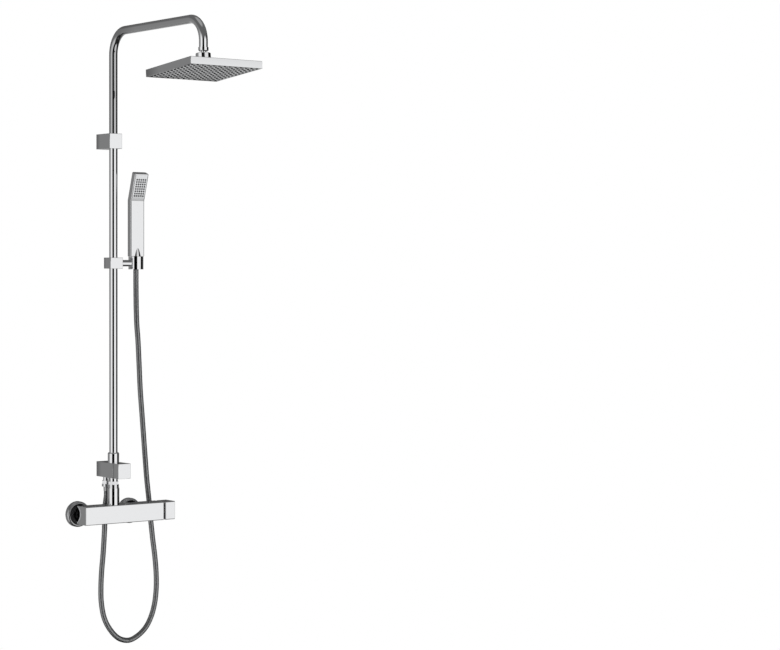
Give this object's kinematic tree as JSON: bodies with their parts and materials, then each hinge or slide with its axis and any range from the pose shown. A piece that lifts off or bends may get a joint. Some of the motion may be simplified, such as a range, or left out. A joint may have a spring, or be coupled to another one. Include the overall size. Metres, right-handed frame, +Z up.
{
  "type": "rainfall shower column",
  "caption": "Wall-mounted shower column: lever bar mixer, knob diverter, riser bent into an overhead arm, square tilting rain head, and stick hand shower on a sliding holder.",
  "frame": {"origin": "on the finished wall, midway between the two water inlets", "axes": "+Y into the wall along the inlets, +Z up along the riser, +X to the viewer's right"},
  "size_m": [0.2815, 0.5935, 1.5704],
  "materials": {
    "polished_chrome": "mirror-polished chrome plate",
    "nut_chrome": "polished chrome plate, spanner flats slightly duller",
    "satin_chrome": "satin chrome plate, duller than the polished blocks",
    "black_nickel": "polished black nickel plate",
    "spray_plate": "satin chrome plate",
    "silicone": "matte silicone",
    "hose_steel": "spiral-wound bright strip",
    "steel": "satin",
    "brass": "machined",
    "rubber": "matte",
    "white_plastic": "moulded",
    "grey_plastic": "moulded"
  },
  "bodies": {
    "root": {"wall_unions": "brass", "rosettes": "satin_chrome", "rosette_rings": "rubber", "union_nuts": "black_nickel", "inlet_filters": "grey_plastic", "check_valves": "white_plastic", "mixer_body": "polished_chrome", "mixer_cartridge": "white_plastic", "cartridge_seals": "rubber", "cartridge_nut": "brass", "outlet_sleeve": "polished_chrome", "sleeve_nut": "nut_chrome", "sealing_washers": "rubber", "inlet_nipple": "polished_chrome", "diverter_body": "polished_chrome", "diverter_cartridge": "white_plastic", "diverter_nut": "brass", "hose_nipple": "polished_chrome", "riser_collar": "polished_chrome", "o_rings": "rubber", "riser_tube": "polished_chrome", "arm_spigot": "brass", "shower_arm": "polished_chrome", "wall_bracket": "polished_chrome", "wall_plates": "steel", "bracket_screws": "steel", "shower_hose": "hose_steel", "hose_nut": "nut_chrome", "hose_ferrule_low": "steel", "ball_connector": "polished_chrome"},
    "mixer_turn": {"lever_carrier": "white_plastic", "lever_pin": "steel"},
    "mixer_handle": {"mixer_lever": "steel", "mixer_handle": "polished_chrome", "handle_grub_screw": "steel"},
    "diverter_knob": {"diverter_spindle": "steel", "diverter_knob": "polished_chrome", "knob_grub_screw": "steel"},
    "slider_liner": {"slider_bushes": "white_plastic"},
    "slider": {"slider_block": "polished_chrome", "slider_brake_screw": "steel", "holder_stem": "polished_chrome", "tilt_screw": "steel", "tilt_washer": "rubber"},
    "holder": {"hose_holder": "polished_chrome"},
    "handset": {"handset_shell": "polished_chrome", "handset_face": "spray_plate", "handset_nozzles": "silicone", "handset_water_tube": "white_plastic", "handset_nipple": "brass", "handset_washer": "rubber", "hose_cone": "polished_chrome", "hose_ferrule_top": "steel"},
    "head_pitch": {"ball_seat": "white_plastic"},
    "head_roll": {"ball_ring": "brass"},
    "head": {"ball_nut": "polished_chrome", "ball_gasket": "rubber", "head_shell": "polished_chrome", "head_face": "spray_plate", "head_nozzles": "silicone"}
  },
  "joints": [
    {"name": "mixer_temperature", "type": "hinge", "parent": "root", "child": "mixer_turn", "pos_m": [0.12, -0.047, 0], "axis": [1, 0, 0], "range_deg": [-50, 50]},
    {"name": "mixer_flow", "type": "hinge", "parent": "mixer_turn", "child": "mixer_handle", "pos_m": [0.12, -0.047, 0], "axis": [0, -1, 0], "range_deg": [0, 11]},
    {"name": "diverter_turn", "type": "hinge", "parent": "root", "child": "diverter_knob", "pos_m": [0, -0.083, 0.112], "axis": [0, 1, 0], "range_deg": [0, 90]},
    {"name": "slider_slide", "type": "slide", "parent": "root", "child": "slider_liner", "axis": [0, 0, 1], "range_m": [-0.24, 0.27], "deforming": ["shower_hose"]},
    {"name": "slider_turn", "type": "hinge", "parent": "slider_liner", "child": "slider", "pos_m": [0, -0.055, 0.636], "axis": [0, 0, 1], "range_deg": [-45, 25], "deforming": ["shower_hose"]},
    {"name": "holder_tilt", "type": "hinge", "parent": "slider", "child": "holder", "pos_m": [0.05, -0.055, 0.636], "axis": [1, 0, 0], "range_deg": [-8, 35], "deforming": ["shower_hose"]},
    {"name": "handset_lift", "type": "slide", "parent": "holder", "child": "handset", "axis": [0, 0, 1], "range_m": [0, 0.045], "deforming": ["shower_hose"]},
    {"name": "head_tilt", "type": "hinge", "parent": "root", "child": "head_pitch", "pos_m": [0, -0.475, 1.12], "axis": [1, 0, 0], "range_deg": [-7, 17]},
    {"name": "head_roll", "type": "hinge", "parent": "head_pitch", "child": "head_roll", "pos_m": [0, -0.475, 1.12], "axis": [0, 1, 0], "range_deg": [-12, 12]},
    {"name": "head_spin", "type": "hinge", "parent": "head_roll", "child": "head", "pos_m": [0, -0.475, 1.12], "axis": [0, 0.0872, 0.9962], "continuous": true}
  ]
}
